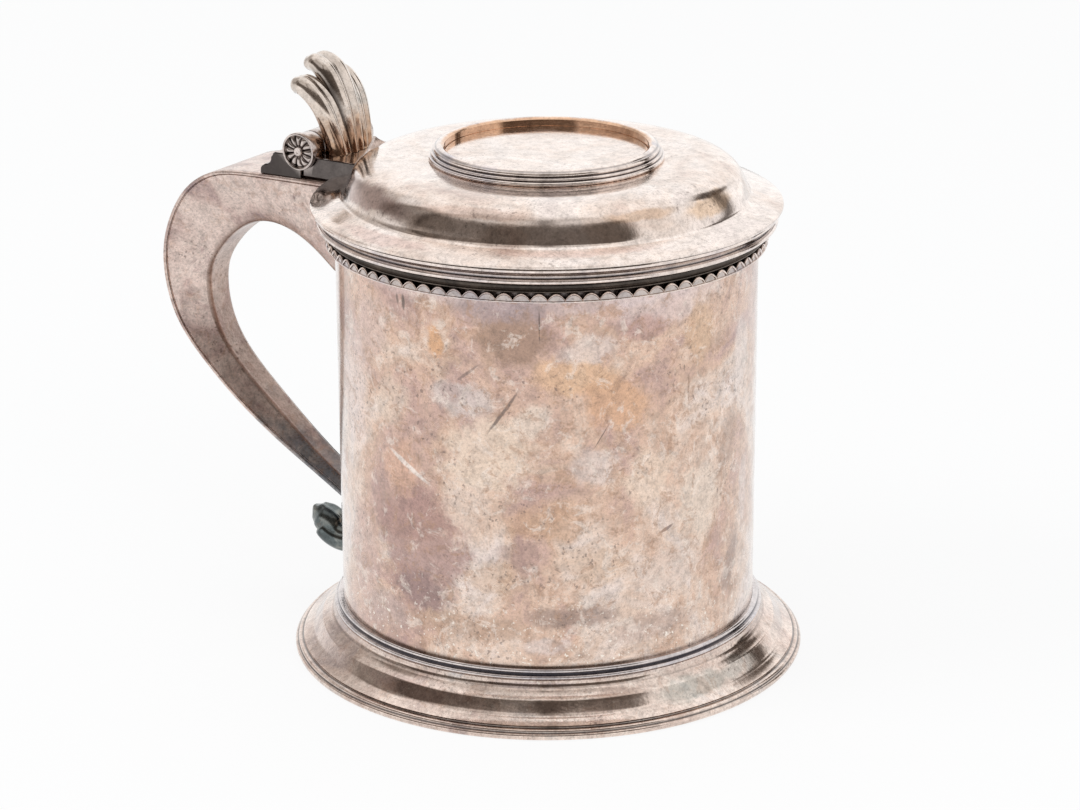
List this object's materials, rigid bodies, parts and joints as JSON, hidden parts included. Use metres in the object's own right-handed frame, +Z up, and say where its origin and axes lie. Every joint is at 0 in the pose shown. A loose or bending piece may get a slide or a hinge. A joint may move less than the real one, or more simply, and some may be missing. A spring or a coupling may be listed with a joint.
{
  "type": "lidded tankard",
  "caption": "Lidded silver drinking tankard with a straight drum, flared foot, scroll handle, hinged lid and fluted thumbpiece.",
  "frame": {"origin": "on the drum's axis, in the plane that the foot stands on", "axes": "+Z up along the drum's axis, -X towards the handle and the hinge, +Y along the hinge pin"},
  "size_m": [0.1943, 0.142, 0.1588],
  "materials": {
    "aged_silver": "old silver with soft brown and purple toning",
    "polished_silver": "bright old silver with fine scratches",
    "toned_silver": "silver with warm orange and grey-green toning"
  },
  "bodies": {
    "vessel": {"body_drum": "aged_silver", "body_floor": "aged_silver", "foot_rim_wire": "polished_silver", "foot_skirt": "aged_silver", "foot_collar": "aged_silver", "lip_band": "aged_silver", "scalloped_wire": "polished_silver", "handle_strap": "aged_silver", "handle_grip": "aged_silver", "handle_terminal": "aged_silver", "hinge_fixed_leaf": "toned_silver", "hinge_pin": "aged_silver", "rosette_cap_left": "toned_silver", "rosette_cap_right": "toned_silver"},
    "lid": {"lid_cover": "polished_silver", "lid_edge_moulding": "polished_silver", "lid_bezel": "aged_silver", "medallion_ring": "polished_silver", "medallion_plate": "polished_silver", "lid_hinge_leaf": "toned_silver", "lid_card": "toned_silver", "thumbpiece": "toned_silver"}
  },
  "joints": [
    {"name": "lid_hinge", "type": "hinge", "parent": "vessel", "child": "lid", "pos_m": [-0.072, 0, 0.134], "axis": [0, -1, 0], "range_deg": [0, 85]}
  ]
}
